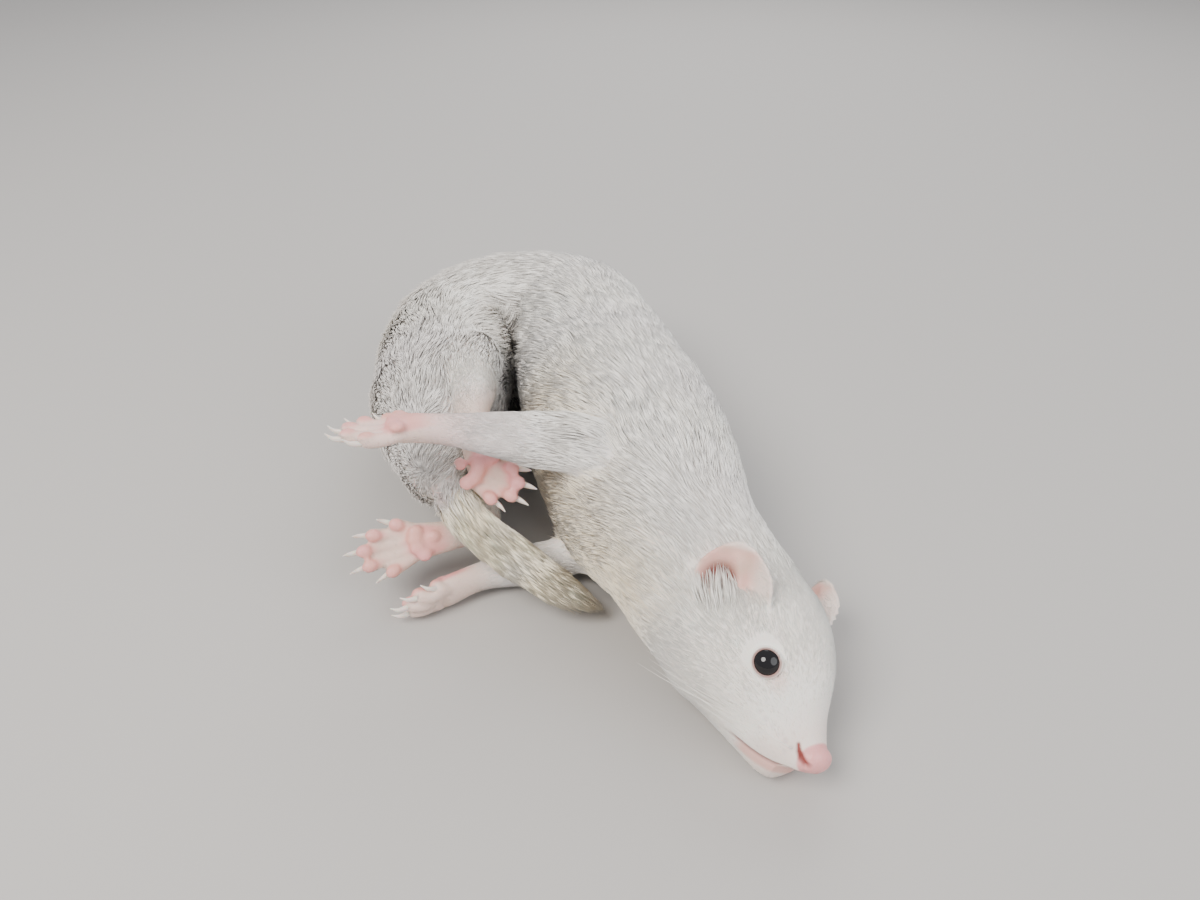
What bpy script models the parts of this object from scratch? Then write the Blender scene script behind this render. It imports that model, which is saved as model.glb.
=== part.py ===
"""A still, life-size young ferret, curled round on its side with its feet drawn up.

Every outline runs out to the tips of the coat. Shapes are worked out in millimetres,
and MM turns them into metres where a mesh is made. X points right, Y away from the
viewer and Z up, and the floor is at zero height. The body is one smooth loft from the
muzzle to the rump, and so is each limb. Thin cuts part them, and the animal rests on
the small flats where it meets the floor.
"""
from math import cos, pi, radians, sin

import bmesh
import bpy
import numpy as np

MM = 0.001
GAP = 0.3
# The middle of the animal's outline on the floor, which becomes the origin
MIDDLE = np.array([-8.6, -38.6, 0.0])
UP = np.array([0.0, 0.0, 1.0])

# Head: its axes as the animal holds it, with places as forward, up and right of the nose
NOSE_TIP = np.array([54.6, -151.4, 13.9])
FORWARD = np.array([0.319, -0.917, -0.241])
CROWN = np.array([0.710, 0.063, 0.701])
# Distance behind the nose, height of the crown, depth of the throat, half width
HEAD_PROFILE = [
    (2.4, 3.9, 6.8, 5.6),
    (7.9, 7.0, 15.3, 9.6),
    (13.9, 10.0, 18.8, 12.4),
    (19.8, 13.8, 21.5, 15.7),
    (25.7, 17.0, 23.7, 19.1),
    (33.7, 19.4, 26.3, 24.0),
    (43.6, 19.0, 28.4, 26.8),
]
EYE_PLACE = np.array([-24.6, 4.6, 14.4])
EYE_RADIUS = 4.1
NOSE_PLACE = np.array([-2.2, -0.9, 0.0])
NOSE_SIZE = np.array([3.4, 4.2, 5.5])
EAR_PLACE = np.array([-43.0, 10.0, 23.0])
EAR_ALONG = np.array([-0.65, -0.61, 0.46])
EAR_UP = np.array([-0.54, 0.75, 0.39])
EAR_HALF_WIDTH = 10.8
EAR_HEIGHT = 10.0
EAR_ROOT = 5.0
EAR_CUP = 4.5
EAR_THICKNESS = 1.8
EAR_COLUMNS = 9
EAR_ROWS = (0.0, 0.25, 0.45, 0.62, 0.77, 0.89, 0.97, 1.0)

# Spine behind the head: place, half depth from back to belly, half width, roll.
# With no roll the back faces level, out of the curl; at 90 degrees it is on top.
HEAD_ROLL = 46.0
SPINE = [
    ((24.4, -90.2, 29.8), 25.2, 25.8, 40.0),
    ((17.0, -71.7, 32.2), 30.2, 28.4, 34.0),
    ((9.9, -45.1, 33.6), 33.0, 30.3, 26.0),
    ((2.2, -9.8, 33.0), 31.9, 30.3, 14.0),
    ((-5.2, 21.0, 32.0), 31.0, 30.3, -3.0),
    ((-10.2, 36.4, 31.6), 30.4, 30.0, -16.0),
    ((-23.3, 45.9, 31.0), 29.6, 29.4, -32.0),
    ((-39.5, 45.9, 30.3), 28.6, 28.8, -50.0),
    ((-52.6, 36.4, 29.8), 27.6, 28.0, -68.0),
    ((-57.6, 21.0, 29.7), 26.8, 27.4, -84.0),
    ((-58.2, 0.0, 30.1), 25.0, 26.2, -98.0),
    ((-57.6, -19.6, 30.8), 22.2, 24.0, -112.0),
    ((-53.6, -46.0, 32.6), 14.6, 15.6, -128.0),
    ((-50.0, -64.5, 33.4), 9.6, 10.2, -135.0),
]
# Lengths along the spine from the muzzle where the body is parted
BODY_CUTS = [
    ("head", 52.0),
    ("neck", 86.0),
    ("chest", 128.0),
    ("waist", 172.0),
    ("loin", 264.0),
    ("hips", None),
]
BODY_SIDES = 20
BODY_STEP = 7.0
# A section faces along the line between points this far before and after it
AIM_REACH = 7.0
# The flank sags until it presses this far into the floor, by no more than this factor
PRESS = 2.0
MOST_SAG = 1.18
# On the inside of a bend the flank stops short of the middle of the bend, by this share
INNER_LIMIT = 0.84
BEND_REACH = 9.0
# Where the waist folds against the hips, neither crosses a level line away from the viewer
FOLD_X = -31.0
FOLD_END_Y = 30.0
FOLD_FADE = 8.0
FOLD_SOFTNESS = 3.0

# Tail and limbs: place, half extent level, half extent upright, roll
TAIL = [
    ((-48.5, -52.0, 27.0), 8.0, 9.0, 0.0),
    ((-46.0, -65.0, 29.5), 7.4, 8.0, 0.0),
    ((-39.5, -74.5, 27.5), 6.6, 7.0, 0.0),
    ((-26.0, -82.6, 20.2), 6.2, 6.6, 0.0),
    ((-13.0, -88.0, 13.2), 4.8, 5.2, 0.0),
    ((-2.6, -91.0, 8.6), 1.6, 1.6, 0.0),
]
TAIL_CUT = 36.0
LIMB_SIDES = 12
LIMB_STEP = 6.0
FOOT_STEP = 4.5
# Each limb: names, stations, the station it is parted at, the toes' direction, the
# sole's direction, right (1) or left (-1), the bend of the toes and their relative length
LIMBS = [
    ("foreleg_right", "forefoot_right", [
        ((6.0, -68.0, 44.0), 11.0, 11.0, 20.0),
        ((-2.8, -71.5, 52.5), 11.0, 11.0, 30.0),
        ((-15.2, -71.6, 55.2), 9.2, 9.2, 40.0),
        ((-31.2, -75.6, 60.6), 6.8, 7.2, 54.0),
        ((-45.7, -77.4, 63.6), 4.8, 5.2, 54.0),
        ((-53.0, -78.4, 64.6), 4.6, 6.6, 68.0),
        ((-59.0, -79.4, 65.0), 4.0, 7.4, 78.0),
    ], 4, (-1.0, -0.03, -0.03), (0.0, 0.20, 0.98), 1.0, -0.04, 1.0),
    ("foreleg_left", "forefoot_left", [
        ((8.0, -64.0, 13.0), 11.0, 11.0, 0.0),
        ((-8.0, -69.0, 9.5), 8.6, 8.6, 0.0),
        ((-25.7, -73.6, 7.6), 6.2, 7.0, 0.0),
        ((-40.5, -79.0, 6.8), 4.4, 5.2, 0.0),
        ((-46.0, -82.6, 6.6), 4.0, 6.0, 0.0),
        ((-50.8, -86.0, 6.4), 3.4, 6.4, 0.0),
    ], 3, (-0.80, -0.60, 0.0), (-0.50, 0.75, 0.30), -1.0, 0.10, 0.80),
    ("hindleg_right", "hindfoot_right", [
        ((-50.0, -22.0, 12.5), 11.5, 12.5, 0.0),
        ((-45.0, -42.0, 13.0), 9.5, 9.5, 0.0),
        ((-40.0, -54.0, 14.6), 7.0, 7.2, 0.0),
        ((-37.6, -63.5, 16.0), 5.2, 5.4, 0.0),
        ((-46.5, -70.5, 18.2), 4.2, 5.2, -36.0),
        ((-59.5, -76.3, 19.8), 3.6, 6.8, -36.0),
    ], 2, (-0.93, -0.36, -0.04), (0.0, -0.809, 0.588), 1.0, 0.04, 1.22),
    ("hindleg_left", "hindfoot_left", [
        ((-48.0, 8.0, 41.0), 13.0, 13.0, 0.0),
        ((-46.0, -10.0, 44.0), 12.0, 12.0, 0.0),
        ((-42.5, -30.0, 46.5), 8.6, 9.0, 0.0),
        ((-40.5, -48.0, 48.0), 5.8, 6.0, 0.0),
        ((-38.5, -58.0, 46.0), 4.6, 6.0, 30.0),
        ((-34.5, -68.0, 40.6), 3.6, 6.8, 43.0),
    ], 3, (0.926, -0.296, -0.222), (0.0, -0.809, 0.588), -1.0, 0.16, 1.0),
]

# Digits from the inner to the outer one: place across the ball, start, length, fan in degrees
DIGITS = [
    (1.00, -6.0, 7.5, 30.0),
    (0.55, -2.2, 10.5, 13.0),
    (0.10, -1.0, 12.5, 3.0),
    (-0.42, -1.4, 12.3, -6.0),
    (-0.90, -4.0, 9.5, -19.0),
]
DIGIT_RADIUS = 2.4
DIGIT_SIDES = 8
DIGIT_STEP = 3.4
CLAW_LENGTH = 5.5
CLAW_RADIUS = 0.8
CLAW_TIP = 0.25

# Colour and roughness of each kind of surface
LOOKS = {
    "fur": ((0.86, 0.82, 0.74), 0.85),
    "tail_fur": ((0.82, 0.72, 0.52), 0.85),
    "skin": ((0.78, 0.42, 0.38), 0.55),
    "nose_skin": ((0.80, 0.36, 0.36), 0.40),
    "eye_gloss": ((0.01, 0.01, 0.015), 0.05),
}


def unit(vector):
    """Return the vector at a length of one."""
    vector = np.asarray(vector, float)
    return vector / np.linalg.norm(vector)


def head_axes():
    """Return the head's forward, up and right directions."""
    forward = unit(FORWARD)
    up = unit(CROWN - (CROWN @ forward) * forward)
    return forward, up, np.cross(forward, up)


def head_point(place, side=1.0):
    """Return the point at a place given from the nose, on the right (1) or left (-1)."""
    forward, up, right = head_axes()
    return NOSE_TIP + place[0] * forward + place[1] * up + side * place[2] * right


def head_stations():
    """Turn the head's profile into stations of the body's loft."""
    stations = []
    for back, crown, throat, half_width in HEAD_PROFILE:
        centre = head_point((-back, (crown - throat) / 2, 0.0))
        stations.append((centre, (crown + throat) / 2, half_width, HEAD_ROLL))
    return stations


def fold_apart(points, on_right):
    """Return the X of the points, kept on one side of the fold between waist and hips."""
    away = (points[:, 0] - FOLD_X) * (1.0 if on_right else -1.0)
    near = FOLD_SOFTNESS * np.exp(np.minimum(away / FOLD_SOFTNESS - 1.0, 0.0)) + GAP / 2
    held = np.where(away < FOLD_SOFTNESS, near, away + GAP / 2)
    weight = np.clip((FOLD_END_Y - points[:, 1]) / FOLD_FADE, 0.0, 1.0)
    return FOLD_X + (away + weight * (held - away)) * (1.0 if on_right else -1.0)


class Loft:
    """A smooth tube through stations, each with an oval section and a roll."""

    def __init__(self, stations, blunt_start=False, blunt_end=False, sags=False):
        self.places = np.array([station[0] for station in stations], float)
        self.rows = np.array([station[1:] for station in stations], float)
        steps = np.linalg.norm(np.diff(self.places, axis=0), axis=1)
        self.at = np.concatenate([[0.0], np.cumsum(steps)])
        self.length = self.at[-1]
        self.blunt_start = blunt_start
        self.blunt_end = blunt_end
        self.sags = sags

    def smooth(self, values, t):
        """Read values at a length along the tube, from a smooth curve through the stations."""
        steps = np.diff(self.at)[:, None]
        slopes = np.diff(values, axis=0) / steps
        inner = (slopes[:-1] * steps[1:] + slopes[1:] * steps[:-1]) / (steps[1:] + steps[:-1])
        tangents = np.concatenate([slopes[:1], inner, slopes[-1:]])
        i = int(np.clip(np.searchsorted(self.at, t, side="right") - 1, 0, len(steps) - 1))
        step = steps[i, 0]
        x = (t - self.at[i]) / step
        start = (2 * x**3 - 3 * x**2 + 1) * values[i] + (x**3 - 2 * x**2 + x) * step * tangents[i]
        end = (3 * x**2 - 2 * x**3) * values[i + 1] + (x**3 - x**2) * step * tangents[i + 1]
        return start + end

    def axes(self, t):
        """Return the forward, back and side directions of the section."""
        ahead = self.smooth(self.places, max(t - AIM_REACH, 0.0))
        behind = self.smooth(self.places, min(t + AIM_REACH, self.length))
        forward = unit(ahead - behind)
        level = unit(np.cross(UP, forward))
        lift = np.cross(forward, level)
        roll = radians(self.smooth(self.rows, t)[2])
        back = cos(roll) * level + sin(roll) * lift
        return forward, back, np.cross(forward, back)

    def bend(self, t):
        """Return the direction to the middle of the tube's bend, and the radius of the bend."""
        before, here, after = [
            self.smooth(self.places, np.clip(at, 0.0, self.length))
            for at in (t - BEND_REACH, t, t + BEND_REACH)
        ]
        turn = unit(after - here) - unit(here - before) if 0.0 < t < self.length else np.zeros(3)
        amount = np.linalg.norm(turn) + 1e-9
        return turn / amount, BEND_REACH / amount

    def rounding(self, t):
        """Return how far a blunt end draws the section in, and how much it faces along the tube."""
        factor, lean = 1.0, 0.0
        ends = ((self.blunt_start, t, -1.0), (self.blunt_end, self.length - t, 1.0))
        for blunt, rest, way in ends:
            reach = self.smooth(self.rows, t)[0]
            if blunt and rest < reach:
                lean = way * (1.0 - rest / reach)
                factor *= max(1.0 - lean**2, 0.02) ** 0.5
        return factor, lean

    def ring(self, t, sides, grow=0.0):
        """Return the points around the section, kept on or above the floor."""
        factor, lean = self.rounding(t)
        deep, wide, _ = self.smooth(self.rows, t) * factor
        forward, back, side = self.axes(t)
        centre = self.smooth(self.places, t) - lean * grow * forward
        angles = np.arange(sides) * 2 * pi / sides
        spokes = deep * np.cos(angles)[:, None] * back + wide * np.sin(angles)[:, None] * side
        if self.sags:
            sag = np.clip((centre[2] + PRESS) / -spokes[:, 2].min(), 1.0, MOST_SAG)
            spokes[:, 2] = np.where(spokes[:, 2] < 0.0, spokes[:, 2] * sag, spokes[:, 2])
        inward, radius = self.bend(t)
        share = spokes @ inward / (INNER_LIMIT * radius)
        held = np.where(share > 0.7, 0.7 + 0.3 * np.tanh((share - 0.7) / 0.3), share)
        spokes += ((held - share) * INNER_LIMIT * radius)[:, None] * inward
        spokes *= 1.0 + grow * factor / np.linalg.norm(spokes, axis=1)[:, None]
        points = centre + spokes
        if self.sags:
            points[:, 0] = fold_apart(points, centre[0] > FOLD_X)
        points[:, 2] = np.maximum(points[:, 2], 0.0)
        return points

    def lengths(self, start, end, step):
        """Return the lengths of the rings: both ends, even steps, and more over a blunt end."""
        even = np.arange(0.0, self.length, step)
        places = [start, end, *even[(even > start + step / 3) & (even < end - step / 3)]]
        for share in (0.03, 0.15, 0.45):
            if self.blunt_start and start == 0.0:
                places.append(share * self.rows[0, 0])
            if self.blunt_end and end == self.length:
                places.append(self.length - share * self.rows[-1, 0])
        return sorted(places)


def close_end(bm, row, ring, flat):
    """Close the end of a tube with a fan, or across a flat one from edge to edge."""
    sides = len(row)
    if flat:
        for i in range(sides // 2 - 1):
            bm.faces.new((row[i], row[i + 1], row[sides - 2 - i], row[sides - 1 - i]))
        return
    middle = bm.verts.new(ring.mean(axis=0) * MM)
    for i in range(sides):
        bm.faces.new((row[i], row[(i + 1) % sides], middle))


def skin_rings(bm, rings, flat=False):
    """Add a closed tube through the rings."""
    sides = len(rings[0])
    rows = [[bm.verts.new(point * MM) for point in ring] for ring in rings]
    for row, following in zip(rows, rows[1:]):
        for i in range(sides):
            j = (i + 1) % sides
            bm.faces.new((row[i], row[j], following[j], following[i]))
    close_end(bm, rows[0], rings[0], flat)
    close_end(bm, rows[-1], rings[-1], flat)
    bmesh.ops.triangulate(bm, faces=bm.faces[:])
    bmesh.ops.recalc_face_normals(bm, faces=bm.faces[:])


def new_object(name, bm, material):
    """Make an object of the mesh. One with no material is a hidden helper."""
    mesh = bpy.data.meshes.new(name)
    bm.to_mesh(mesh)
    bm.free()
    mesh.shade_smooth()
    obj = bpy.data.objects.new(name, mesh)
    obj.location = tuple(-MIDDLE * MM)
    bpy.context.collection.objects.link(obj)
    if material is None:
        obj.hide_render = True
        obj.display_type = "WIRE"
    else:
        mesh.materials.append(material)
    return obj


def tube(name, loft, start, end, material, sides, step, grow=0.0):
    """Make one length of a loft."""
    bm = bmesh.new()
    skin_rings(bm, [loft.ring(t, sides, grow) for t in loft.lengths(start, end, step)])
    return new_object(name, bm, material)


def ball(name, centre, sizes, material, grow=0.0):
    """Make an oval ball with the given half sizes along the head's axes."""
    bm = bmesh.new()
    bmesh.ops.create_uvsphere(bm, u_segments=14, v_segments=8, radius=1.0)
    forward, up, right = head_axes()
    for vert in bm.verts:
        x, y, z = np.array(vert.co) * (np.asarray(sizes) + grow)
        vert.co = tuple((centre + x * forward + y * up + z * right) * MM)
    bmesh.ops.triangulate(bm, faces=bm.faces[:])
    bmesh.ops.recalc_face_normals(bm, faces=bm.faces[:])
    return new_object(name, bm, material)


def combine(obj, other, operation):
    """Cut the other shape away from an object, or join it on."""
    modifier = obj.modifiers.new(operation.lower(), "BOOLEAN")
    modifier.operation = operation
    modifier.solver = "EXACT"
    modifier.object = other


def make_material(name, look):
    """Make a plain material from a colour and a roughness."""
    colour, roughness = look
    material = bpy.data.materials.new(name)
    material.use_nodes = True
    shader = material.node_tree.nodes["Principled BSDF"]
    shader.inputs["Base Color"].default_value = (*colour, 1.0)
    shader.inputs["Roughness"].default_value = roughness
    material.diffuse_color = (*colour, 1.0)
    return material


def make_body(fur):
    """Make the body's lengths, and two cutters that are larger by the gap."""
    loft = Loft(head_stations() + SPINE, blunt_end=True, sags=True)
    pieces = {}
    start = 0.0
    for name, cut in BODY_CUTS:
        end = loft.length if cut is None else cut
        first = start + (GAP / 2 if start > 0.0 else 0.0)
        last = end - (GAP / 2 if cut is not None else 0.0)
        pieces[name] = tube(name, loft, first, last, fur, BODY_SIDES, BODY_STEP)
        start = end
    cuts = dict(BODY_CUTS)
    front = tube("front_cutter", loft, 0.0, cuts["waist"], None, BODY_SIDES, BODY_STEP, GAP)
    rear = tube("rear_cutter", loft, cuts["loin"], loft.length, None, BODY_SIDES, BODY_STEP, GAP)
    return pieces["head"], front, rear


def set_in(name, head, centre, sizes, material):
    """Make a ball that sits in a socket of the head, with the gap around it."""
    ball(name, centre, sizes, material)
    combine(head, ball(name + "_socket", centre, sizes, None, GAP), "DIFFERENCE")


def ear_point(across, up, depth, side):
    """Return a point of the ear: across from -1 to 1, up from 0 to 1, depth behind its face."""
    along = unit(EAR_ALONG)
    rise = unit(EAR_UP - (EAR_UP @ along) * along)
    facing = np.cross(rise, along)
    half_width = EAR_HALF_WIDTH * (1.0 - 0.62 * up**2.4) ** 0.5
    hollow = EAR_CUP * (across**2 - 1.0) * (1.0 - 0.35 * up)
    lift = ((EAR_ROOT + EAR_HEIGHT) * up - EAR_ROOT) * (1.0 - 0.16 * across**2 * up)
    place = EAR_PLACE + across * half_width * along + lift * rise + (hollow - depth) * facing
    return head_point(place, side)


def make_ear(name, side, cutter, material):
    """Make an ear as a cupped shell that stands out of the head."""
    rings = []
    for up in EAR_ROWS:
        across = np.linspace(-1.0, 1.0, EAR_COLUMNS) * ((1.0 - up**5) ** 0.5 * 0.94 + 0.06)
        thick = EAR_THICKNESS * (1.0 - 0.5 * up)
        front = [ear_point(a, up, 0.0, side) for a in across]
        rear = [ear_point(a, up, thick, side) for a in across[::-1]]
        rings.append(np.array(front + rear))
    bm = bmesh.new()
    skin_rings(bm, rings, flat=True)
    combine(new_object(name, bm, material), cutter, "DIFFERENCE")


def make_tail(cutter, material):
    """Make the tail in two lengths, and part its root from the rump."""
    loft = Loft(TAIL, blunt_start=True)
    base = tube("tail_base", loft, 0.0, TAIL_CUT - GAP / 2, material, LIMB_SIDES, LIMB_STEP)
    combine(base, cutter, "DIFFERENCE")
    tube("tail_tip", loft, TAIL_CUT + GAP / 2, loft.length, material, LIMB_SIDES, LIMB_STEP)
    return tube("tail_cutter", loft, 0.0, loft.length, None, LIMB_SIDES, LIMB_STEP, GAP)


def digit_loft(ball_centre, toward, palm, inner, half_width, digit, bend, reach):
    """Return the loft of one digit, with its claw tapering to a point."""
    across, start, length, fan = digit
    length *= reach
    ahead = cos(radians(fan)) * toward + sin(radians(fan)) * inner
    root = ball_centre + across * half_width * inner + start * ahead
    knuckle = root + 0.5 * length * ahead - 0.1 * length * palm
    tip = root + length * ahead + bend * length * palm
    claw_root = tip + 1.2 * ahead - 0.2 * palm
    claw_middle = claw_root + CLAW_LENGTH * (0.55 * ahead + 0.1 * palm)
    claw_end = claw_root + CLAW_LENGTH * (ahead + 0.4 * palm)
    return Loft([
        (root, DIGIT_RADIUS * 0.9, DIGIT_RADIUS * 0.9, 0.0),
        (knuckle, DIGIT_RADIUS * 0.95, DIGIT_RADIUS * 0.9, 0.0),
        (tip - ahead, DIGIT_RADIUS * 1.05, DIGIT_RADIUS, 0.0),
        (claw_root, CLAW_RADIUS * 1.3, CLAW_RADIUS * 1.2, 0.0),
        (claw_middle, CLAW_RADIUS * 0.9, CLAW_RADIUS * 0.8, 0.0),
        (claw_end, CLAW_TIP, CLAW_TIP, 0.0),
    ])


def make_limb(limb, cutters, fur, skin):
    """Make a leg, and its foot with five digits joined on."""
    leg_name, foot_name, stations, parting, toes, sole, side, bend, reach = limb
    loft = Loft(stations, blunt_start=True, blunt_end=True)
    cut = loft.at[parting]
    leg = tube(leg_name, loft, 0.0, cut - GAP / 2, fur, LIMB_SIDES, LIMB_STEP)
    foot = tube(foot_name, loft, cut + GAP / 2, loft.length, skin, LIMB_SIDES, FOOT_STEP)
    toward = unit(toes)
    palm = unit(sole - (sole @ toward) * toward)
    inner = side * np.cross(toward, palm)
    half_width = loft.rows[-1][1] - 0.6 * DIGIT_RADIUS
    for number, digit in enumerate(DIGITS, 1):
        finger = digit_loft(loft.places[-1], toward, palm, inner, half_width, digit, bend, reach)
        helper_name = "%s_digit_%d" % (foot_name, number)
        helper = tube(helper_name, finger, 0.0, finger.length, None, DIGIT_SIDES, DIGIT_STEP)
        combine(foot, helper, "UNION")
    for cutter in cutters:
        combine(leg, cutter, "DIFFERENCE")
        combine(foot, cutter, "DIFFERENCE")


def main():
    """Clear the scene and make the whole animal."""
    for obj in list(bpy.data.objects):
        bpy.data.objects.remove(obj)
    looks = {name: make_material(name, look) for name, look in LOOKS.items()}
    head, front, rear = make_body(looks["fur"])
    set_in("nose", head, head_point(NOSE_PLACE), NOSE_SIZE, looks["nose_skin"])
    for name, side in (("right", 1.0), ("left", -1.0)):
        eye = head_point(EYE_PLACE, side)
        set_in("eye_" + name, head, eye, np.full(3, EYE_RADIUS), looks["eye_gloss"])
        make_ear("ear_" + name, side, front, looks["skin"])
    tail = make_tail(rear, looks["tail_fur"])
    for limb in LIMBS:
        cutters = [front] if limb[0].startswith("fore") else [rear, tail]
        make_limb(limb, cutters, looks["fur"], looks["skin"])


main()
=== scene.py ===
"""Looks for the still ferret: one skin, its eyes, claws and whiskers, and a coat of mesh tufts.

Shapes are worked out in millimetres, in the same lofts as the solids, and MM turns them
into metres. The skin lies inside the solids by the depth of the coat.
"""
from math import cos, pi, radians, sin

import bmesh
import bpy
import numpy as np
from mathutils.kdtree import KDTree
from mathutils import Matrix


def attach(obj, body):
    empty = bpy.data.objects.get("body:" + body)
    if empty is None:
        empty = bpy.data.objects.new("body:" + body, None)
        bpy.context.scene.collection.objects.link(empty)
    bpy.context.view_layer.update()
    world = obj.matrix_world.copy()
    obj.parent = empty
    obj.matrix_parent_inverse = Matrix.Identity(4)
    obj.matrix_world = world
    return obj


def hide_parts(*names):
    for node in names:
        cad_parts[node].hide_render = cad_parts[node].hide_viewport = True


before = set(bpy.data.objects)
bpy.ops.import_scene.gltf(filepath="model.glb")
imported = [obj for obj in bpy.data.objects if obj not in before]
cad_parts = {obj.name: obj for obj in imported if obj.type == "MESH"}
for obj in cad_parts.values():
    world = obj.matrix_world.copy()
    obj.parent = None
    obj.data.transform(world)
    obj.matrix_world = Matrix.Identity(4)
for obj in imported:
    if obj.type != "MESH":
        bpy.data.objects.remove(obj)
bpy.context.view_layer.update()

MM = 0.001
MIDDLE = np.array([-8.6, -38.6, 0.0])
UP = np.array([0.0, 0.0, 1.0])
RNG = np.random.default_rng(7)

# Camera: its place in the drawing's frame, how far it looks down, and its lens
CAMERA_PLACE = np.array([0.0, -284.6, 206.8])
CAMERA_DOWN = 36.0
CAMERA_LENS = 27.0

# Head: its axes, with places as forward, up and right of the nose
NOSE_TIP = np.array([54.6, -151.4, 13.9])
FORWARD = np.array([0.319, -0.917, -0.241])
CROWN = np.array([0.710, 0.063, 0.701])
HEAD_ROLL = 46.0
# Distance behind the nose, height of the crown, depth of the throat, half width
HEAD_PROFILE = [
    (2.4, 3.9, 6.8, 5.6),
    (7.9, 7.0, 15.3, 9.6),
    (13.9, 10.0, 18.8, 12.4),
    (19.8, 13.8, 21.5, 15.7),
    (25.7, 17.0, 23.7, 19.1),
    (33.7, 19.4, 26.3, 24.0),
    (43.6, 19.0, 28.4, 26.8),
]
# Stations of the back and the tail: place, half sizes from back to belly and across, roll
SPINE = [
    ((24.4, -90.2, 29.8), 25.2, 25.8, 40.0),
    ((17.0, -71.7, 32.2), 30.2, 28.4, 34.0),
    ((9.9, -45.1, 33.6), 33.0, 30.3, 26.0),
    ((2.2, -9.8, 33.0), 31.9, 30.3, 14.0),
    ((-5.2, 21.0, 32.0), 31.0, 30.3, -3.0),
    ((-10.2, 36.4, 31.6), 30.4, 30.0, -16.0),
    ((-23.3, 45.9, 31.0), 29.6, 29.4, -32.0),
    ((-39.5, 45.9, 30.3), 28.6, 28.8, -50.0),
    ((-52.6, 36.4, 29.8), 27.6, 28.0, -68.0),
    ((-57.6, 21.0, 29.7), 26.8, 27.4, -84.0),
    ((-58.2, 0.0, 30.1), 25.0, 26.2, -98.0),
    ((-57.6, -19.6, 30.8), 22.2, 24.0, -112.0),
    ((-53.6, -46.0, 32.6), 14.6, 15.6, -128.0),
    ((-50.0, -64.5, 33.4), 9.6, 10.2, -135.0),
]
TAIL = [
    ((-48.5, -52.0, 27.0), 8.0, 9.0, 0.0),
    ((-46.0, -65.0, 29.5), 7.4, 8.0, 0.0),
    ((-39.5, -74.5, 27.5), 6.6, 7.0, 0.0),
    ((-26.0, -82.6, 20.2), 6.2, 6.6, 0.0),
    ((-13.0, -88.0, 13.2), 4.8, 5.2, 0.0),
    ((-2.6, -91.0, 8.6), 1.6, 1.6, 0.0),
]
# Each limb: name, stations as above, the wrist's station, the toes' direction, the sole's
# direction, right (1) or left (-1), the bend of the toes and their relative length
LIMBS = [
    ("forefoot_right", [
        ((6.0, -68.0, 44.0), 11.0, 11.0, 20.0),
        ((-2.8, -71.5, 52.5), 11.0, 11.0, 30.0),
        ((-15.2, -71.6, 55.2), 9.2, 9.2, 40.0),
        ((-31.2, -75.6, 60.6), 6.8, 7.2, 54.0),
        ((-45.7, -77.4, 63.6), 4.8, 5.2, 54.0),
        ((-53.0, -78.4, 64.6), 4.6, 6.6, 68.0),
        ((-59.0, -79.4, 65.0), 4.0, 7.4, 78.0),
    ], 4, (-1.0, -0.03, -0.03), (0.0, 0.20, 0.98), 1.0, -0.04, 1.0),
    ("forefoot_left", [
        ((8.0, -64.0, 13.0), 11.0, 11.0, 0.0),
        ((-8.0, -69.0, 9.5), 8.6, 8.6, 0.0),
        ((-25.7, -73.6, 7.6), 6.2, 7.0, 0.0),
        ((-40.5, -79.0, 6.8), 4.4, 5.2, 0.0),
        ((-46.0, -82.6, 6.6), 4.0, 6.0, 0.0),
        ((-50.8, -86.0, 6.4), 3.4, 6.4, 0.0),
    ], 3, (-0.80, -0.60, 0.0), (-0.50, 0.75, 0.30), -1.0, 0.10, 0.80),
    ("hindfoot_right", [
        ((-50.0, -22.0, 12.5), 11.5, 12.5, 0.0),
        ((-45.0, -42.0, 13.0), 9.5, 9.5, 0.0),
        ((-40.0, -54.0, 14.6), 7.0, 7.2, 0.0),
        ((-37.6, -63.5, 16.0), 5.2, 5.4, 0.0),
        ((-46.5, -70.5, 18.2), 4.2, 5.2, -36.0),
        ((-59.5, -76.3, 19.8), 3.6, 6.8, -36.0),
    ], 3, (-0.93, -0.36, -0.04), (0.0, -0.809, 0.588), 1.0, 0.04, 1.22),
    ("hindfoot_left", [
        ((-48.0, 8.0, 41.0), 13.0, 13.0, 0.0),
        ((-46.0, -10.0, 44.0), 12.0, 12.0, 0.0),
        ((-42.5, -30.0, 46.5), 8.6, 9.0, 0.0),
        ((-40.5, -48.0, 48.0), 5.8, 6.0, 0.0),
        ((-38.5, -58.0, 46.0), 4.6, 6.0, 30.0),
        ((-34.5, -68.0, 40.6), 3.6, 6.8, 43.0),
    ], 3, (0.926, -0.296, -0.222), (0.0, -0.809, 0.588), -1.0, 0.16, 1.0),
]
# Digits from the inner to the outer one: place across the ball, start, length, fan in degrees
DIGITS = [
    (1.00, -6.0, 7.5, 30.0),
    (0.55, -2.2, 10.5, 13.0),
    (0.10, -1.0, 12.5, 3.0),
    (-0.42, -1.4, 12.3, -6.0),
    (-0.90, -4.0, 9.5, -19.0),
]
DIGIT_RADIUS = 2.1
CLAW_LENGTH = 4.3
TOE_PAD = np.array([2.5, 1.5, 2.0])
PALM_PAD = np.array([2.4, 1.5, 2.2])
# How far the outer digits and pads lie in from the sides of the foot
DIGIT_INSET = 1.44
PAD_INSET = 1.4

# Bends and folds of the body, as in the solids
PRESS = 2.0
MOST_SAG = 1.18
INNER_LIMIT = 0.84
BEND_REACH = 9.0
AIM_REACH = 7.0
FOLD_X = -31.0
FOLD_END_Y = 30.0
FOLD_FADE = 8.0
FOLD_SOFTNESS = 3.0
FOLD_MARGIN = 2.2

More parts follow.
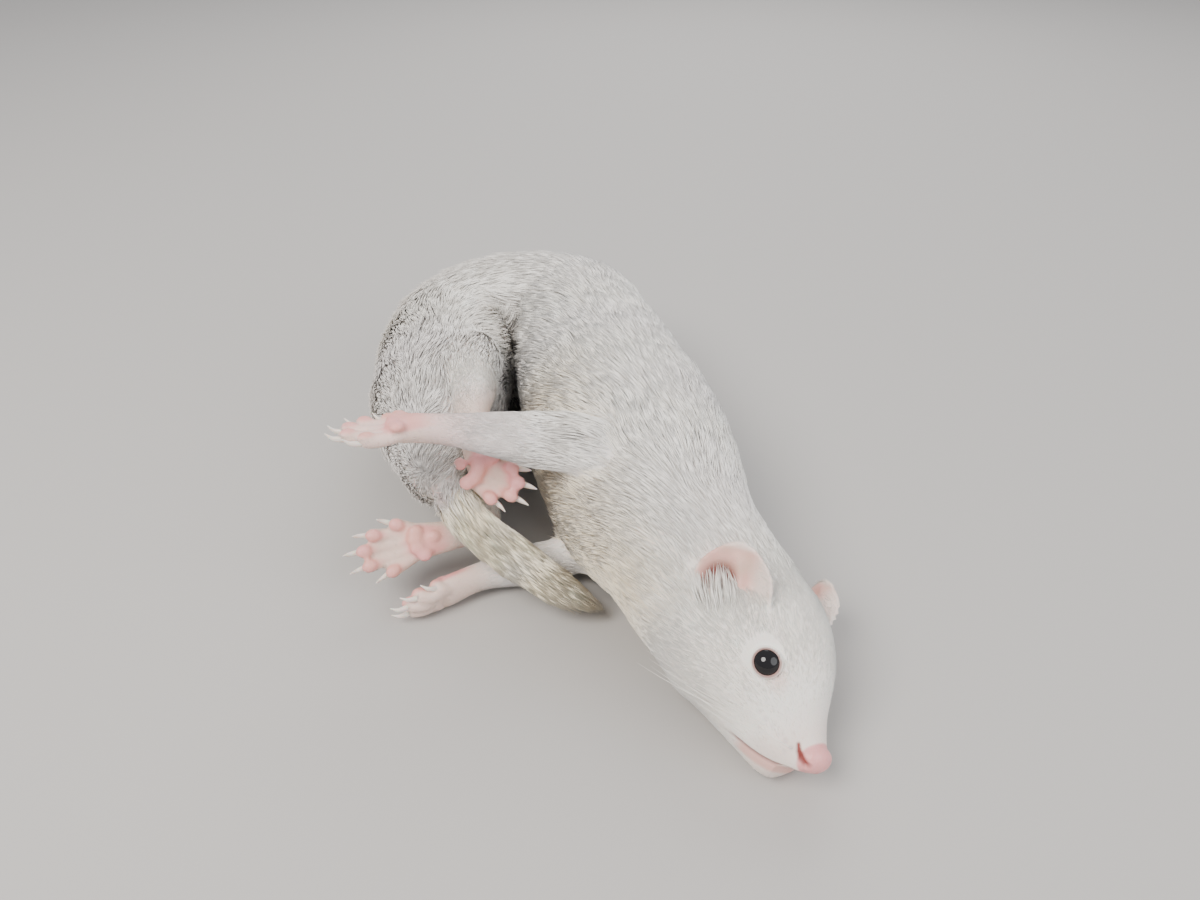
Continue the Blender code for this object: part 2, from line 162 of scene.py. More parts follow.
# Depth of the coat, length of its tufts and their rise, by the place along the body
COAT_AT = [0.0, 8.0, 20.0, 34.0, 52.0, 80.0, 120.0, 250.0, 320.0, 348.0]
COAT_DEPTH = [0.5, 0.6, 0.8, 1.0, 1.5, 2.2, 2.6, 2.6, 2.3, 1.6]
HAIR_LENGTH = [1.0, 1.5, 2.4, 3.4, 6.0, 10.0, 13.0, 13.0, 9.0, 6.0]
HAIR_LIFT = [0.05, 0.07, 0.08, 0.09, 0.11, 0.12, 0.13, 0.13, 0.13, 0.13]
TAIL_COAT = (1.9, 1.0)
LIMB_COAT = (1.9, 0.5)

EYE_PLACE = np.array([-24.5, 4.7, 13.9])
EYE_AXIS = np.array([0.47, 0.33, 0.82])
EYE_RADIUS = 4.1
EYE_OPENING = 49.0
EYE_CORNER = np.array([-18.8, 5.0, 13.0])
NOSE_PLACE = np.array([-2.2, -0.9, 0.0])
NOSE_SIZE = np.array([3.2, 4.0, 5.3])
EAR_PLACE = np.array([-43.0, 10.0, 23.0])
EAR_ALONG = np.array([-0.65, -0.61, 0.46])
EAR_UP = np.array([-0.54, 0.75, 0.39])
EAR_HALF_WIDTH = 10.6
EAR_HEIGHT = 9.6
EAR_ROOT = 6.0
EAR_CUP = 4.5
EAR_THICKNESS = 1.5
EAR_ROWS = (0.0, 0.2, 0.35, 0.5, 0.62, 0.72, 0.8, 0.87, 0.92, 0.96, 0.985, 1.0)

# Lip line: distance behind the nose and height of the lip's edge
LIP_BACK = [0.0, 2.5, 5.0, 8.0, 11.0, 15.0, 19.0]
LIP_HEIGHT = [-4.8, -6.6, -8.9, -10.9, -12.6, -14.6, -15.8]
MOUTH_CORNER = 17.0
MOUTH_MIDDLE = np.array([-9.0, -7.0, 0.0])
CHIN_FRONT = -4.4
# Swellings of the whisker pad, cheek and brow and the dent of the bridge: place, reach, height
MUZZLE_SWELLS = [
    ((-8.5, -4.5, 8.6), 6.0, 0.9),
    ((-31.0, -8.0, 21.0), 12.0, 0.8),
    ((-17.0, 7.0, 8.0), 6.0, -0.5),
    ((-24.0, 11.5, 12.0), 5.0, 0.4),
]
# Upward on the head, and the angle from the lids' edge in which the mesh is drawn to it
HEAD_UP_LOCAL = np.array([0.0, 1.0, 0.0])
LID_DRAW = 12.0
# The slit of the nostril, from its tail at the side to its opening in front
NOSTRIL = [(-5.6, -0.4, 6.4), (-4.1, -1.4, 5.9), (-2.5, -1.9, 5.1), (-1.1, -1.8, 4.0)]

VOXEL = 0.7
SKIN_FACES = 125000
# Rounds of smoothing all over the skin, and where limbs leave the body
SKIN_SMOOTHING = 2
ROOT_SMOOTHING = 260
# How far from the nose the head is sculpted, and its finest mesh reaches
HEAD_REACH = 80.0
MUZZLE_REACH = 46.0
POINTS_AT_ONCE = 4000
WHISKER_COLUMNS = 6
BAKE_PATCH = 0.003
MOST_FACES = 190000
# Lowest heights of the flesh, and of hair and claws
FLESH_FLOOR = 0.9
HAIR_FLOOR = 0.15

# Kinds of tuft: name, count, width, length and lift relative to the coat's own at their place,
# tufts in a lock, how far they are drawn together, and whether they are bent
LONG_TUFTS = ("long", 74000, 0.19, 1.0, 1.0, 12, 0.4, True)
UNDER_TUFTS = ("under", 80000, 0.34, 0.55, 0.75, 6, 0.2, False)
SHORT_TUFTS = ("short", 100000, 0.13, 1.0, 1.0, 8, 0.3, False)

# Tones of fur and skin, painted shade among them, and the brightest that hair may be
BRIGHTEST = 0.94
WHITE = np.array([0.90, 0.865, 0.80])
# Painted shade: grey-lilac that stands for the low light on the trunk and hips
PAINTED_SHADE = np.array([0.82, 0.775, 0.755])
CREAM = np.array([0.88, 0.76, 0.55])
TAIL_CREAM = np.array([0.94, 0.81, 0.56])
PINK = np.array([0.76, 0.38, 0.32])
PALE_PINK = np.array([0.84, 0.62, 0.54])
# Lilac: the whisker spots' own tone, and painted shade on the right foreleg
LILAC = np.array([0.72, 0.63, 0.66])
ROSE = np.array([0.80, 0.36, 0.35])
# Painted shade in hollows: the nostrils, the line of the mouth and the ear canals
HOLLOW_SHADE = np.array([0.30, 0.07, 0.06])
# Painted shade on pink skin and thin fur: the shaded lower legs, hind feet and insides of the ears
SHADED_PINK = np.array([0.62, 0.41, 0.31])
LID = np.array([0.30, 0.15, 0.13])


def unit(vector):
    """Return the vector at a length of one."""
    vector = np.asarray(vector, float)
    return vector / np.linalg.norm(vector)


def lengths(vectors):
    """Return the length of each row."""
    return np.linalg.norm(vectors, axis=1)


def units(vectors):
    """Return each row at a length of one."""
    return vectors / np.maximum(lengths(vectors), 1e-9)[:, None]


def head_axes():
    """Return the head's forward, up and right directions."""
    forward = unit(FORWARD)
    up = unit(CROWN - (CROWN @ forward) * forward)
    return forward, up, np.cross(forward, up)


HEAD_AXES = np.array(head_axes())


def head_point(place, side=1.0):
    """Return the point at a place given from the nose, on the right (1) or left (-1)."""
    return NOSE_TIP + np.asarray(place) * (1.0, 1.0, side) @ HEAD_AXES


def head_stations():
    """Turn the head's profile into stations of the body's loft."""
    stations = []
    for back, crown, throat, half_width in HEAD_PROFILE:
        centre = head_point((-back, (crown - throat) / 2, 0.0))
        stations.append((centre, (crown + throat) / 2, half_width, HEAD_ROLL))
    return stations


def fold_apart(points, on_right):
    """Return the X of the points, kept on one side of the fold between waist and hips."""
    side = 1.0 if on_right else -1.0
    away = (points[:, 0] - FOLD_X) * side - FOLD_MARGIN
    near = FOLD_SOFTNESS * np.exp(np.minimum(away / FOLD_SOFTNESS - 1.0, 0.0))
    held = np.where(away < FOLD_SOFTNESS, near, away)
    weight = np.clip((FOLD_END_Y - points[:, 1]) / FOLD_FADE, 0.0, 1.0)
    held = away + weight * (held - away) + FOLD_MARGIN
    return FOLD_X + held * side


class Loft:
    """A smooth tube through stations, each with an oval section and a roll."""

    def __init__(self, stations, blunt_start=False, blunt_end=False, sags=False):
        self.places = np.array([station[0] for station in stations], float)
        self.rows = np.array([station[1:] for station in stations], float)
        steps = lengths(np.diff(self.places, axis=0))
        self.at = np.concatenate([[0.0], np.cumsum(steps)])
        self.length = self.at[-1]
        self.blunt_start = blunt_start
        self.blunt_end = blunt_end
        self.sags = sags

    def smooth(self, values, t):
        """Read values at a length along the tube, from a smooth curve through the stations."""
        steps = np.diff(self.at)[:, None]
        slopes = np.diff(values, axis=0) / steps
        inner = (slopes[:-1] * steps[1:] + slopes[1:] * steps[:-1]) / (steps[1:] + steps[:-1])
        tangents = np.concatenate([slopes[:1], inner, slopes[-1:]])
        i = int(np.clip(np.searchsorted(self.at, t, side="right") - 1, 0, len(steps) - 1))
        step = steps[i, 0]
        x = (t - self.at[i]) / step
        start = (2 * x**3 - 3 * x**2 + 1) * values[i] + (x**3 - 2 * x**2 + x) * step * tangents[i]
        end = (3 * x**2 - 2 * x**3) * values[i + 1] + (x**3 - x**2) * step * tangents[i + 1]
        return start + end

    def axes(self, t):
        """Return the forward, back and side directions of the section."""
        ahead = self.smooth(self.places, max(t - AIM_REACH, 0.0))
        behind = self.smooth(self.places, min(t + AIM_REACH, self.length))
        forward = unit(ahead - behind)
        level = unit(np.cross(UP, forward))
        lift = np.cross(forward, level)
        roll = radians(self.smooth(self.rows, t)[2])
        back = cos(roll) * level + sin(roll) * lift
        return forward, back, np.cross(forward, back)

    def bend(self, t):
        """Return the direction to the middle of the tube's bend, and the radius of the bend."""
        before, here, after = [
            self.smooth(self.places, np.clip(at, 0.0, self.length))
            for at in (t - BEND_REACH, t, t + BEND_REACH)
        ]
        turn = unit(after - here) - unit(here - before) if 0.0 < t < self.length else np.zeros(3)
        amount = np.linalg.norm(turn) + 1e-9
        return turn / amount, BEND_REACH / amount

    def rounding(self, t):
        """Return how far a blunt end draws the section in."""
        factor = 1.0
        for blunt, rest in ((self.blunt_start, t), (self.blunt_end, self.length - t)):
            reach = self.smooth(self.rows, t)[0]
            if blunt and rest < reach:
                factor *= max(1.0 - (1.0 - rest / reach) ** 2, 0.02) ** 0.5
        return factor

    def ring(self, t, sides, depth=0.0):
        """Return the points around the section, in from the coat's outline by its depth."""
        factor = self.rounding(t)
        deep, wide, _ = self.smooth(self.rows, t) * factor
        _, back, side = self.axes(t)
        centre = self.smooth(self.places, t)
        angles = np.arange(sides) * 2 * pi / sides
        spokes = deep * np.cos(angles)[:, None] * back + wide * np.sin(angles)[:, None] * side
        if self.sags:
            sag = np.clip((centre[2] + PRESS) / -spokes[:, 2].min(), 1.0, MOST_SAG)
            spokes[:, 2] = np.where(spokes[:, 2] < 0.0, spokes[:, 2] * sag, spokes[:, 2])
        inward, radius = self.bend(t)
        share = spokes @ inward / (INNER_LIMIT * radius)
        held = np.where(share > 0.7, 0.7 + 0.3 * np.tanh((share - 0.7) / 0.3), share)
        spokes += ((held - share) * INNER_LIMIT * radius)[:, None] * inward
        spokes *= 1.0 - depth * factor / lengths(spokes)[:, None]
        points = centre + spokes
        if self.sags:
            points[:, 0] = fold_apart(points, centre[0] > FOLD_X)
        points[:, 2] = np.maximum(points[:, 2], FLESH_FLOOR)
        return points


def add_rings(bm, rings, flat=False):
    """Add a closed tube through the rings, its ends fanned or closed flat."""
    sides = len(rings[0])
    rows = [[bm.verts.new(point) for point in ring] for ring in rings]
    for row, following in zip(rows, rows[1:]):
        for i in range(sides):
            j = (i + 1) % sides
            bm.faces.new((row[i], row[j], following[j], following[i]))
    for row, ring in ((rows[0], rings[0]), (rows[-1], rings[-1])):
        if flat:
            for i in range(sides // 2 - 1):
                bm.faces.new((row[i], row[i + 1], row[sides - 2 - i], row[sides - 1 - i]))
            continue
        middle = bm.verts.new(np.mean(ring, axis=0))
        for i in range(sides):
            bm.faces.new((row[i], row[(i + 1) % sides], middle))


def add_ball(bm, centre, sizes, axes):
    """Add an oval ball with half sizes along the given axes."""
    made = bmesh.ops.create_uvsphere(bm, u_segments=20, v_segments=12, radius=1.0)
    for vert in made["verts"]:
        vert.co = centre + (np.array(vert.co) * sizes) @ np.asarray(axes)


def link_object(name, data):
    """Add an object with the data to the scene."""
    obj = bpy.data.objects.new(name, data)
    bpy.context.scene.collection.objects.link(obj)
    return obj


def make_object(name, bm, scale=True):
    """Make an object of a mesh that is drawn in millimetres."""
    bmesh.ops.recalc_face_normals(bm, faces=bm.faces[:])
    if scale:
        for vert in bm.verts:
            vert.co = (np.array(vert.co) - MIDDLE) * MM
    mesh = bpy.data.meshes.new(name)
    bm.to_mesh(mesh)
    bm.free()
    mesh.shade_smooth()
    return link_object(name, mesh)


def foot_frame(limb):
    """Return the middle of the ball of the foot, and its toe, palm and inner directions."""
    _, stations, _, toes, sole, side, _, _ = limb
    toward = unit(toes)
    palm = unit(sole - (np.array(sole) @ toward) * toward)
    return np.array(stations[-1][0]), toward, palm, side * np.cross(toward, palm)


def digit_line(limb, digit):
    """Return one digit's root, knuckle, tip and claw points."""
    centre, toward, palm, inner = foot_frame(limb)
    half_width = limb[1][-1][2] - DIGIT_INSET
    across, start, length, fan = digit
    length *= limb[7]
    ahead = cos(radians(fan)) * toward + sin(radians(fan)) * inner
    root = centre + across * half_width * inner + start * ahead
    knuckle = root + 0.5 * length * ahead - 0.1 * length * palm
    tip = root + length * ahead + limb[6] * length * palm
    claw_root = tip + 0.2 * ahead - 0.5 * palm
    claw_middle = tip + (1.2 + 0.5 * CLAW_LENGTH) * ahead - 0.1 * palm
    claw_end = tip + (1.0 + CLAW_LENGTH) * ahead + 0.36 * CLAW_LENGTH * palm
    return root, knuckle, tip, (claw_root, claw_middle, claw_end), ahead


def add_foot(bm, limb):
    """Add the digits and pads of a foot."""
    centre, toward, palm, inner = foot_frame(limb)
    half_width = limb[1][-1][2] - PAD_INSET
    for number, digit in enumerate(DIGITS):
        root, knuckle, tip, _, ahead = digit_line(limb, digit)
        loft = Loft([
            (root - 2.0 * ahead, 1.9, 1.9, 0.0),
            (knuckle, DIGIT_RADIUS, DIGIT_RADIUS * 0.95, 0.0),
            (tip + 0.9 * ahead, DIGIT_RADIUS, DIGIT_RADIUS, 0.0),
        ], blunt_start=True, blunt_end=True)
        times = np.linspace(0.0, loft.length, 22)
        add_rings(bm, [loft.ring(t, 16) for t in times])
        add_ball(bm, tip - 0.9 * ahead + 1.0 * palm, TOE_PAD, (ahead, palm, np.cross(ahead, palm)))
        if number:
            place = centre + digit[0] * half_width * inner * 0.95 + (digit[1] * 0.6 - 1.6) * toward
            add_ball(bm, place + 2.6 * palm, PALM_PAD, (toward, palm, inner))
    add_ball(bm, centre - 8.0 * toward + 2.4 * palm, PALM_PAD * 0.9, (toward, palm, inner))


def ear_axes():
    """Return the ear's directions: along its base, up, and out of its face."""
    along = unit(EAR_ALONG)
    rise = unit(EAR_UP - (EAR_UP @ along) * along)
    return along, rise, np.cross(rise, along)


def ear_point(across, up, depth, side):
    """Return a point of the ear: across from -1 to 1, up from 0 to 1, depth behind its face."""
    along, rise, facing = ear_axes()
    half_width = EAR_HALF_WIDTH * (1.0 - 0.62 * up**2.4) ** 0.5
    hollow = EAR_CUP * (across**2 - 1.0) * (1.0 - 0.35 * up)
    lift = ((EAR_ROOT + EAR_HEIGHT) * up - EAR_ROOT) * (1.0 - 0.16 * across**2 * up)
    place = EAR_PLACE + across * half_width * along + lift * rise + (hollow - depth) * facing
    return head_point(place, side)


def add_ears(bm):
    """Add both ears as cupped shells."""
    for side in (1.0, -1.0):
        rings = []
        for up in EAR_ROWS:
            across = np.linspace(-1.0, 1.0, 25) * ((1.0 - up**5) ** 0.5 * 0.94 + 0.06)
            thick = EAR_THICKNESS * (1.0 - 0.25 * up)
            front = [ear_point(a, up, 0.0, side) for a in across]
            rear = [ear_point(a, up, thick, side) for a in across[::-1]]
            rings.append(np.array(front + rear))
        add_rings(bm, rings, flat=True)


BODY = Loft(head_stations() + SPINE, blunt_end=True, sags=True)
TAIL_LOFT = Loft(TAIL, blunt_start=True, blunt_end=True)
LIMB_LOFTS = [Loft(limb[1], blunt_start=True, blunt_end=True) for limb in LIMBS]


def add_perineum(bm):
    """Add the small bare folds under the tail."""
    _, back, side = BODY.axes(BODY.length)
    for place in rump_places():
        add_ball(bm, place, (2.6, 2.2, 2.8), (UP, back, side))


def part_depth(number, t):
    """Return the depth of the coat at a place along the body, the tail or a limb."""
    if number == 0:
        return np.interp(t, COAT_AT, COAT_DEPTH)
    if number == 1:
        return np.interp(t, [0.0, TAIL_LOFT.length], TAIL_COAT)
    wrist = LIMB_LOFTS[number - 2].at[LIMBS[number - 2][2]]
    return np.interp(t, [0.0, wrist], LIMB_COAT)


def join_flesh():
    """Return one object of all the lofts of flesh, still passing through each other."""
    bm = bmesh.new()
    for number, (loft, sides, step) in enumerate([
        (BODY, 96, 2.0), (TAIL_LOFT, 32, 1.2), *[(loft, 32, 1.2) for loft in LIMB_LOFTS],
    ]):
        times = [*np.arange(0.0, loft.length, step), loft.length]
        add_rings(bm, [loft.ring(t, sides, part_depth(number, t)) for t in times])
    for limb in LIMBS:
        add_foot(bm, limb)
    add_ears(bm)
    add_ball(bm, head_point(NOSE_PLACE), NOSE_SIZE, HEAD_AXES)
    add_perineum(bm)
    return make_object("skin", bm, scale=False)


def add_group(obj, name, weights):
    """Add a vertex group with the weights, in steps of a tenth."""
    group = obj.vertex_groups.new(name=name)
    steps = np.round(np.clip(weights, 0.0, 1.0) * 10).astype(int)
    for step in range(1, 11):
        group.add(np.where(steps == step)[0].tolist(), step / 10, "REPLACE")


def apply_modifiers(obj):
    """Replace the object's mesh by the one that its modifiers make."""
    made = obj.evaluated_get(bpy.context.evaluated_depsgraph_get())
    mesh = bpy.data.meshes.new_from_object(made)
    obj.modifiers.clear()
    obj.data = mesh


def limb_roots(points):
    """Return how near each point is to where a limb leaves the body."""
    share = np.zeros(len(points))
    for loft in LIMB_LOFTS:
        distance, _ = line_distance(points, loft.places[:2])
        share = np.maximum(share, ramp(loft.rows[0, 0] + 7.0 - distance, 0.0, 7.0))
    return share


def head_places(points):
    """Return points as places forward, up and right of the nose."""
    return (points - NOSE_TIP) @ HEAD_AXES.T


def fine_places(points):
    """Return how much each point belongs to the head or a foot, which keep their fine mesh."""
    local = head_places(points)
    share = ramp(local[:, 0], -66.0, -56.0) * (lengths(local) < 85.0)
    for limb in LIMBS:
        distance = lengths(points - foot_frame(limb)[0])
        share = np.maximum(share, ramp(-distance, -24.0, -20.0))
    return share


def refine_muzzle(obj):
    """Split the faces of the muzzle and round the eyes, where the finest shapes are cut."""
    bm = bmesh.new()
    bm.from_mesh(obj.data)
    local = head_places(np.array([vert.co for vert in bm.verts]))
    inside = (local[:, 0] > -32.0) & (lengths(local) < MUZZLE_REACH)
    edges = [edge for edge in bm.edges if all(inside[vert.index] for vert in edge.verts)]
    bmesh.ops.subdivide_edges(bm, edges=edges, cuts=1, use_grid_fill=True)
    bmesh.ops.triangulate(bm, faces=[face for face in bm.faces if len(face.verts) > 4])
    bm.to_mesh(obj.data)
    bm.free()


def make_raw_skin():
    """Join all the flesh into one closed skin, smooth where limbs leave the body."""
    obj = join_flesh()
    remesh = obj.modifiers.new("remesh", "REMESH")
    remesh.mode = "VOXEL"
    remesh.voxel_size = VOXEL
    apply_modifiers(obj)
    points = read_vectors(obj.data.vertices, "co")
    add_group(obj, "roots", limb_roots(points))
    add_group(obj, "plain", 1.0 - fine_places(points))
    for group, iterations in (("", SKIN_SMOOTHING), ("roots", ROOT_SMOOTHING)):
        smooth = obj.modifiers.new("smooth", "SMOOTH")
        smooth.vertex_group = group
        smooth.factor = 0.5
        smooth.iterations = iterations
    thin = obj.modifiers.new("thin", "DECIMATE")
    thin.ratio = SKIN_FACES / (2 * len(obj.data.polygons))
    thin.vertex_group = "plain"
    apply_modifiers(obj)
    refine_muzzle(obj)
    obj.vertex_groups.clear()
    obj.data.shade_smooth()
    return obj


def read_vectors(items, name):
    """Return a vector of each item of a mesh, such as its vertices' places, as an array."""
    values = np.empty(len(items) * 3)
    items.foreach_get(name, values)
    return values.reshape(-1, 3)


def mirror(local):
    """Return places on the head with the left half laid over the right one."""
    return np.stack([local[:, 0], local[:, 1], np.abs(local[:, 2])], axis=1)


def bump_of(distance, reach):
    """Return a smooth hump of one at no distance, and of nothing from the reach outwards."""
    return np.clip(1.0 - (distance / reach) ** 2, 0.0, 1.0) ** 2


def bump_round(points, place, reach):
    """Return a smooth hump round a place, for each point."""
    return bump_of(lengths(points - place), reach)


def line_distance(points, line):
    """Return the distance from each point to a line of places, and the share along it."""
    line = np.asarray(line, float)
    best = np.full(len(points), 1e9)
    share = np.zeros(len(points))
    for i in range(len(line) - 1):
        step = line[i + 1] - line[i]
        x = np.clip((points - line[i]) @ step / (step @ step), 0.0, 1.0)
        distance = lengths(points - line[i] - x[:, None] * step)
        nearer = distance < best
        best = np.where(nearer, distance, best)
        share = np.where(nearer, (i + x) / (len(line) - 1), share)
    return best, share


def carve_mouth(local):
    """Inset the lower jaw under the lip, and cut the line of the mouth."""
    back = -local[:, 0]
    lip = np.interp(back, LIP_BACK, LIP_HEIGHT)
    below = np.clip((lip - local[:, 1]) / 0.7, 0.0, 1.0)
    front = np.clip((MOUTH_CORNER + 3.0 - back) / 9.0, 0.0, 1.0)
    amount = below * front
    local[:, 2] *= 1.0 - 0.17 * amount
    past_chin = np.maximum(local[:, 0] - CHIN_FRONT, 0.0)
    local[:, 0] -= 0.8 * amount * past_chin
    groove = bump_of(np.abs(local[:, 1] - lip), 0.9)
    groove *= np.clip((MOUTH_CORNER - back) / 2.0, 0.0, 1.0)
    local += (0.7 * groove)[:, None] * units(MOUTH_MIDDLE - local)
    return groove


def shape_muzzle(local):
    """Swell the whisker pads, cheeks and brow, and dent the bridge of the nose."""
    out = units(local * (0.0, 1.0, 1.0) - np.array([0.0, -4.0, 0.0]))
    for place, reach, height in MUZZLE_SWELLS:
        local += (height * bump_round(mirror(local), place, reach))[:, None] * out


def carve_nose(local):
    """Cut the nostrils and the groove under the nose."""
    mirrored = mirror(local)
    distance, share = line_distance(mirrored, NOSTRIL)
    reach = 0.75 + 0.85 * share
    depth = (0.5 + 1.4 * share) * bump_of(distance, reach)
    inward = units(np.array([-6.5, -2.0, 1.0]) - mirrored)
    inward[:, 2] *= np.sign(local[:, 2])
    local += depth[:, None] * inward
    groove = bump_of(np.abs(local[:, 2]), 0.6) * (local[:, 1] < -1.5) * (local[:, 1] > -6.5)
    groove *= local[:, 0] > -5.0
    local[:, 0] -= 0.45 * groove
    return np.clip(1.3 * bump_of(distance, reach), 0.0, 1.0)


def wrap_lids(local):
    """Lay the skin round the eyes as lids, and sink it behind them inside the opening."""
    rim = np.zeros(len(local))
    for side in (1.0, -1.0):
        centre = EYE_PLACE * (1.0, 1.0, side)
        axis = unit(EYE_AXIS * (1.0, 1.0, side))
        arm = local - centre
        distance = lengths(arm)
        near = distance < EYE_RADIUS + 5.0
        direction = units(arm)
        angle = np.degrees(np.arccos(np.clip(direction @ axis, -1.0, 1.0)))
        level = unit(np.cross(HEAD_UP_LOCAL, axis))
        sideways = np.abs(direction @ level)
        opening = EYE_OPENING + 4.0 * sideways**2
        past = angle - opening
        drawn = past * np.minimum(np.abs(past) / LID_DRAW, 1.0)
        turned = np.radians(opening + drawn)
        outward = units(direction - (direction @ axis)[:, None] * axis)
        direction = np.cos(turned)[:, None] * axis + np.sin(turned)[:, None] * outward
        swell = 0.5 * bump_of(drawn - 6.0, 15.0)
        lid = np.maximum(distance, EYE_RADIUS + 0.12 + swell)
        sunk = np.minimum(distance, EYE_RADIUS - 0.7)
        pushed = sunk + ramp(drawn, -1.2, 0.6) * (lid - sunk)
        placed = centre + pushed[:, None] * direction
        chosen = near & (angle < 100.0)
        local[chosen] = placed[chosen]
        close = near & (distance < EYE_RADIUS + 2.2)
        rim = np.maximum(rim, np.where(close, bump_of(drawn, 5.0), 0.0))
    return rim


def carve_ears(local):
    """Sink the ears' canals, raise their folds, and return the shares in ear, face and canal."""
    along, rise, facing = ear_axes()
    arm = mirror(local) - EAR_PLACE
    across = arm @ along / EAR_HALF_WIDTH
    up = arm @ rise
    front = arm @ facing - EAR_CUP * (across**2 - 1.0)
    within = ramp(1.04 - np.abs(across), 0.0, 0.12) * ramp(up, -3.6, -2.2)
    within *= ramp(EAR_HEIGHT + 0.6 - up, 0.0, 1.4) * ramp(2.6 - np.abs(front), 0.0, 0.8)
    face = within * ramp(front, -0.7, -0.3)
    canal = 4.0 * along - 1.2 * rise - 3.2 * facing
    hole = bump_round(arm, canal, 5.6)
    fold = face * bump_of(across + 0.12 - 0.03 * up, 0.24) * ramp(7.5 - up, 0.0, 4.0)
    moved = (1.3 * fold - 2.4 * hole)[:, None] * facing - 1.4 * hole[:, None] * rise
    moved[:, 2] *= np.sign(local[:, 2])
    local += moved
    bare = face * ramp(across, -0.7, -0.2) * ramp(0.98 - across, 0.0, 0.14)
    bare *= ramp(EAR_HEIGHT - 0.6 - up, 0.0, 2.0)
    return within, bare, np.clip(1.7 * hole, 0.0, 1.0)


class Lie:
    """Where skin points lie on the animal: part, place along it, angle round it, and axes."""

    def __init__(self):
        rows = []
        for number, loft in enumerate([BODY, TAIL_LOFT, *LIMB_LOFTS]):
            for t in np.arange(0.0, loft.length + 0.01, 2.0):
                rows.append(self.section(number, t, loft, t))
        for number, (limb, whole) in enumerate(zip(LIMBS, LIMB_LOFTS)):
            for digit in DIGITS:
                root, _, tip, _, ahead = digit_line(limb, digit)
                sizes = (DIGIT_RADIUS, DIGIT_RADIUS, 0.0)
                loft = Loft([(root, *sizes), (tip, *sizes), (tip + 3.0 * ahead, *sizes)])
                for t in np.arange(0.0, loft.length, 2.0):
                    rows.append(self.section(number + 2, whole.length, loft, t))
        self.rows = np.array(rows)

    @staticmethod
    def section(number, place, loft, t):
        """Return the numbers of one section of a part."""
        deep, wide, _ = loft.smooth(loft.rows, t)
        forward, back, side = loft.axes(t)
        centre = loft.smooth(loft.places, t)
        depth = part_depth(number, place)
        return [number, place, deep, wide, depth, *centre, *-forward, *back, *side]

    def read(self, points):
        """Return the section that each point lies on, by distance from the part's skin."""
        nearest = np.empty(len(points), int)
        deep, wide, depth = self.rows[:, 2], self.rows[:, 3], self.rows[:, 4]
        radius = (deep + wide) / 2
        for start in range(0, len(points), POINTS_AT_ONCE):
            end = start + POINTS_AT_ONCE
            block = points[start:end]
            total = np.zeros((len(block), len(self.rows)))
            for first, size in ((8, radius), (11, deep), (14, wide)):
                axis = self.rows[:, first:first + 3]
                level = (self.rows[:, 5:8] * axis).sum(1)
                total += ((block @ axis.T - level) / size) ** 2
            gap = (np.sqrt(total) - 1.0) * radius + depth
            nearest[start:end] = np.argmin(gap, axis=1)
        return self.rows[nearest]


def ripple(points, size, seed):
    """Return smooth noise from about -1 to 1, with bumps of about the given size."""
    rng = np.random.default_rng(seed)
    total = np.zeros(len(points))
    for _ in range(7):
        direction = unit(rng.normal(size=3)) * rng.uniform(0.7, 1.5) * 2 * pi / (size * 2.0)
        total += np.sin(points @ direction + rng.uniform(0, 2 * pi))
    return total / 7**0.5


def mix(first, second, share):
    """Blend tones row by row."""
    share = np.clip(share, 0.0, 1.0)[:, None]
    return first * (1.0 - share) + second * share


def ramp(values, start, end):
    """Return a smooth rise from 0 at the start to 1 at the end."""
    x = np.clip((values - start) / (end - start), 0.0, 1.0)
    return x * x * (3.0 - 2.0 * x)


def foot_share(points, part):
    """Return how far each point is into a foot, 1 on the toes, and how far to its pad side."""
    share = np.zeros(len(points))
    palmward = np.zeros(len(points))
    for number, limb in enumerate(LIMBS):
        centre, toward, palm, _ = foot_frame(limb)
        arm = points - centre
        own = part == number + 2
        share = np.where(own, ramp(arm @ toward, -17.0, -7.0), share)
        palmward = np.where(own, arm @ palm, palmward)
    return share, palmward


def describe(points, normals, rows):
    """Return facts on each skin point: where it lies, and how its hair lies."""
    part = rows[:, 0].astype(int)
    t = rows[:, 1]
    caudal, back, side = rows[:, 8:11], rows[:, 11:14], rows[:, 14:17]
    arm = points - rows[:, 5:8]
    toward_back = (arm * back).sum(1)
    belly = -toward_back / rows[:, 2]
    drift = (part == 0) * ramp(t, 24.0, 70.0) * (0.22 + 0.6 * ramp(belly, -0.4, 0.9))
    flow = caudal - drift[:, None] * back
    wrists = np.array([1.0, 1.0] + [loft.at[limb[2]] for limb, loft in zip(LIMBS, LIMB_LOFTS)])
    foot, palmward = foot_share(points, part)
    facts = {
        "part": part,
        "t": t,
        "angle": np.arctan2((arm * side).sum(1), toward_back),
        "flow": units(flow - (flow * normals).sum(1)[:, None] * normals),
        "belly": belly,
        "down": np.where(part >= 2, t / wrists[part], 0.0),
        "foot": foot,
        "bare": foot * ramp(palmward, 0.4, 1.8),
        "rump": rump_share(points),
    }
    facts["hair"] = np.clip(1.0 - 0.3 * foot - facts["bare"] - 0.8 * facts["rump"], 0.0, 1.0)
    return facts


def add_coat_sizes(facts):
    """Add the length and the lift of the coat to the facts."""
    part, t, down = facts["part"], facts["t"], facts["down"]
    room = np.maximum(TAIL_LOFT.length - t, 0.0) + 3.5
    facts["length"] = np.select(
        [facts["foot"] > 0.3, part >= 2, part == 1],
        [1.6, np.interp(down, [0.0, 0.3, 0.6, 1.0], [11.0, 9.0, 4.5, 2.0]), np.minimum(11.0, room)],
        np.interp(t, COAT_AT, HAIR_LENGTH),
    )
    facts["lift"] = np.select(
        [part >= 2, part == 1],
        [np.interp(down, [0.0, 0.6, 1.0], [0.13, 0.11, 0.07]), 0.12],
        np.interp(t, COAT_AT, HAIR_LIFT),
    )


def paint(tone, layers):
    """Lay tones over each other, each with its share."""
    for colour, share in layers:
        tone = mix(tone, colour, share)
    return tone


